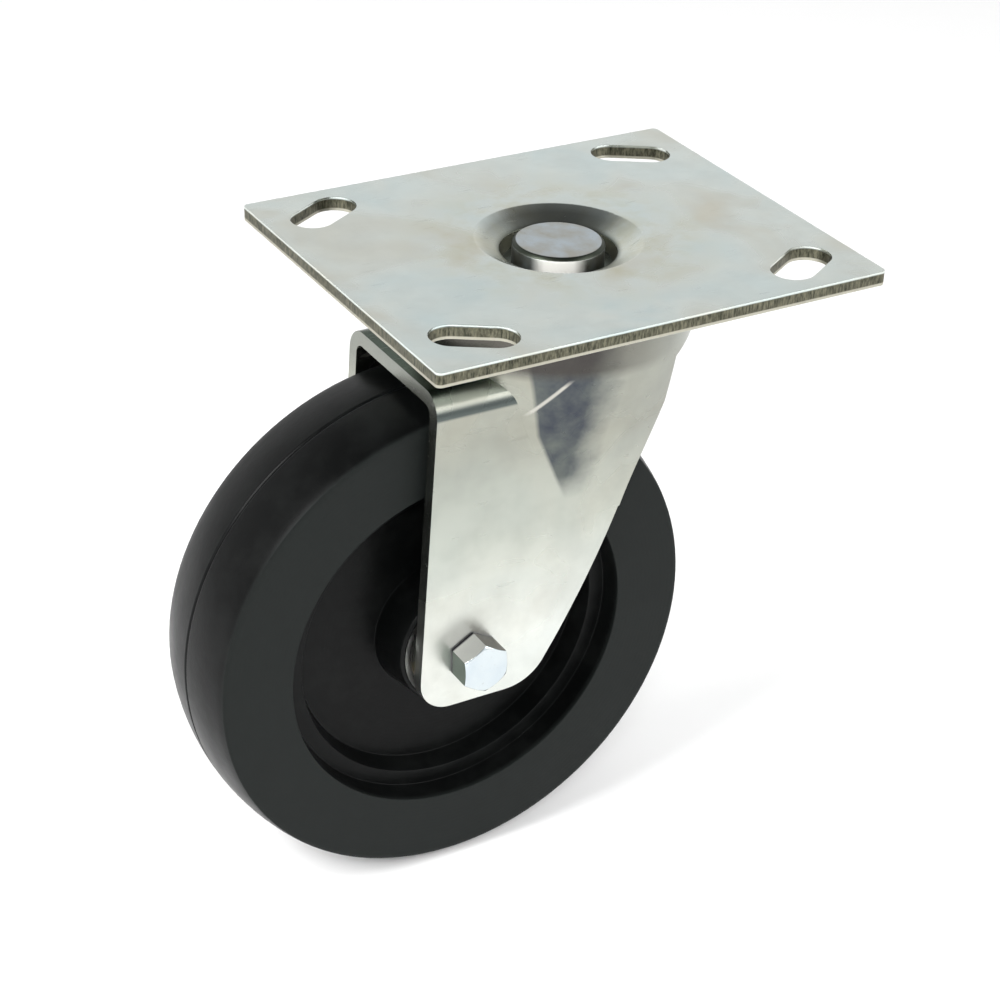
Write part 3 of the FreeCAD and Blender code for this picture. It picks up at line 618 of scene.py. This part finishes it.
class GATE_OT_washers(bpy.types.Operator):
    """Flat washer under the nut, and the thrust washers at the hub's ends"""
    bl_idname = "gate.washers"
    bl_label = "Washers"

    def execute(self, context):
        finish = zinc_turned("zinc_washer", AXLE, "Y", "#DDE1DE", 0.22)
        bm = cleaned("nut_washer")
        break_edges(bm, NUT_BREAK)
        as_piece(bm, "washer_nut_side", finish, "fork", "nut_washer")
        blackened = oiled_steel("blackened_thrust_washer", "#2C2D2B", 0.42)
        for node in ("near_thrust_washer", "far_thrust_washer"):
            plated_node(node, blackened)
        return {"FINISHED"}


class GATE_OT_bearing(bpy.types.Operator):
    """Finish of the roller bearing inside the hub"""
    bl_idname = "gate.bearing"
    bl_label = "Roller bearing"

    def execute(self, context):
        plated_node("axle_bushing", oiled_steel("ground_bushing", "#A7A8A6", 0.22))
        plated_node("hub_sleeve", oiled_steel("hardened_sleeve", "#9A9B9A", 0.26))
        plated_node("roller_cage", oiled_steel("pressed_cage", "#A9A69C", 0.30))
        plated_node("bearing_rollers", oiled_steel("ground_rollers", "#BFC0C0", 0.12))
        return {"FINISHED"}


class GATE_OT_wheel(bpy.types.Operator):
    """Solid rubber wheel: crowned tread with its parting line, flat rim, steps, web and hub"""
    bl_idname = "gate.wheel"
    bl_label = "Wheel"

    def execute(self, context):
        sizes = context.scene.gate_wheel_sizes
        radius = (WHEEL_HIGH.z - WHEEL_LOW.z) / 2
        bore = (SLEEVE_HIGH.z - SLEEVE_LOW.z) / 2
        # half widths of the hub, the rim, the web and the step between web and rim
        hub = (WHEEL_HIGH.y - WHEEL_LOW.y) / 2
        rim = 15.875 * MM
        web, step = rim - 10.4 * MM, rim - 5.4 * MM
        # radii, each pair the two ends of a drafted wall
        hub_wall = (bore + 1.1 * MM, bore + 2.5 * MM)
        step_wall = (37.6 * MM, 39.0 * MM)
        rim_wall = (42.9 * MM, 43.8 * MM)
        edge_radius = radius - sizes.tread_drop
        shoulder, corner = 1.6 * MM, 0.45 * MM
        side = [
            (bore, hub), (bore + 0.5 * MM, hub), (hub_wall[0], hub - 0.6 * MM),
            (hub_wall[1], web), (step_wall[0], web), (step_wall[1], step), (rim_wall[0], step),
            (rim_wall[1], rim), (edge_radius - shoulder, rim),
            (edge_radius - corner, rim - corner),
        ]
        edge = rim - shoulder
        arc = (edge ** 2 + sizes.tread_drop ** 2) / (2 * sizes.tread_drop)
        steps = 14
        crown = []
        for i in range(2 * steps + 1):
            y = edge * (1 - i / steps)
            crown.append((radius - arc + math.sqrt(arc ** 2 - y ** 2), y))
        # the middle of the crown gives way to the groove of the parting line
        line = sizes.tread_line
        groove, bottom = radius - 0.5 * line, 0.35 * line
        crown[steps:steps + 1] = [(radius, line), (groove, bottom), (groove, -bottom),
                                  (radius, -line)]
        profile = side + crown + [(r, -h) for r, h in reversed(side)]
        bm = spun(profile, AXLE, "Y", sizes.round_steps)
        break_edges(bm, sizes.moulded_round, over=30, segments=3)
        finish = moulded_rubber("hard_black_rubber")
        as_piece(bm, "rubber_wheel", finish, "wheel", "wheel", sharp=40)
        return {"FINISHED"}


class GATE_OT_stage(bpy.types.Operator):
    """Pale floor, soft studio light and the camera"""
    bl_idname = "gate.stage"
    bl_label = "Stage"

    def execute(self, context):
        scene = context.scene
        bm = bmesh.new()
        bmesh.ops.create_grid(bm, x_segments=1, y_segments=1, size=FLOOR_REACH,
                              matrix=Matrix.Translation((0, 0, WHEEL_LOW.z)))
        mesh = bpy.data.meshes.new("floor")
        bm.to_mesh(mesh)
        bm.free()
        floor = bpy.data.objects.new("floor", mesh)
        scene.collection.objects.link(floor)
        material, tree, shader, where = blank("pale_floor")
        tone = pattern(tree, where.outputs["Object"], 400, detail=1)
        fill(tree, shader, {"Base Color": stain(tree, "#FAFAFA", "#FFFFFF", tone),
                            "Roughness": 0.9, "Specular IOR Level": 0.1})
        mesh.materials.append(material)

        world = bpy.data.worlds.new("studio")
        world.use_nodes = True
        tent = world.node_tree
        tent.nodes.clear()
        way = add(tent, "SeparateXYZ", {"Vector": add(tent, "TexCoord").outputs["Generated"]})
        wall = add(tent, "ValToRGB", {"Fac": way.outputs["Z"]},
                   stops=[(height, (tone,) * 3) for height, tone in WALL])
        add(tent, "OutputWorld", {"Surface": add(tent, "Background", {"Color": wall})})
        scene.world = world

        for name, place, size, power, mirrored in LIGHTS:
            data = bpy.data.lights.new(name, "AREA")
            data.size = size
            data.energy = power
            light = bpy.data.objects.new(name, data)
            light.visible_glossy = mirrored
            turn = (LIT_POINT - Vector(place)).to_track_quat("-Z", "Y").to_matrix().to_4x4()
            light.matrix_world = Matrix.Translation(place) @ turn
            scene.collection.objects.link(light)

        lens = bpy.data.cameras.new("studio_camera")
        lens.sensor_width = 36.0
        lens.lens = CAMERA_LENS
        lens.clip_start = 0.01
        camera = bpy.data.objects.new("studio_camera", lens)
        back = CAMERA_RIGHT.cross(CAMERA_UP)
        turn = Matrix((CAMERA_RIGHT, CAMERA_UP, back)).transposed().to_4x4()
        camera.matrix_world = Matrix.Translation(CAMERA_PLACE) @ turn
        scene.collection.objects.link(camera)
        scene.camera = camera
        scene.view_settings.view_transform = "Standard"
        return {"FINISHED"}


PIECES = (
    GATE_OT_top_plate,
    GATE_OT_kingpin,
    GATE_OT_races,
    GATE_OT_fork,
    GATE_OT_axle_bolt,
    GATE_OT_lock_nut,
    GATE_OT_washers,
    GATE_OT_bearing,
    GATE_OT_wheel,
    GATE_OT_stage,
)


class GATE_PT_panel(bpy.types.Panel):
    """The pieces and settings of the gate wheel"""
    bl_idname = "GATE_PT_panel"
    bl_label = "Gate wheel"
    bl_space_type = "VIEW_3D"
    bl_region_type = "UI"
    bl_category = "Gate wheel"

    def draw(self, context):
        for group in (context.scene.gate_wheel_sizes, context.scene.gate_wheel_colours):
            box = self.layout.box()
            for name in group.__annotations__:
                box.prop(group, name)
        for piece in PIECES:
            self.layout.operator(piece.bl_idname)


CLASSES = (GateWheelSizes, GateWheelColours, *PIECES, GATE_PT_panel)


def register():
    for cls in CLASSES:
        bpy.utils.register_class(cls)
    bpy.types.Scene.gate_wheel_sizes = PointerProperty(type=GateWheelSizes)
    bpy.types.Scene.gate_wheel_colours = PointerProperty(type=GateWheelColours)


def unregister():
    del bpy.types.Scene.gate_wheel_colours
    del bpy.types.Scene.gate_wheel_sizes
    for cls in reversed(CLASSES):
        bpy.utils.unregister_class(cls)


def main():
    register()
    for piece in PIECES:
        group, name = piece.bl_idname.split(".")
        getattr(getattr(bpy.ops, group), name)()


if __name__ == "__main__":
    main()
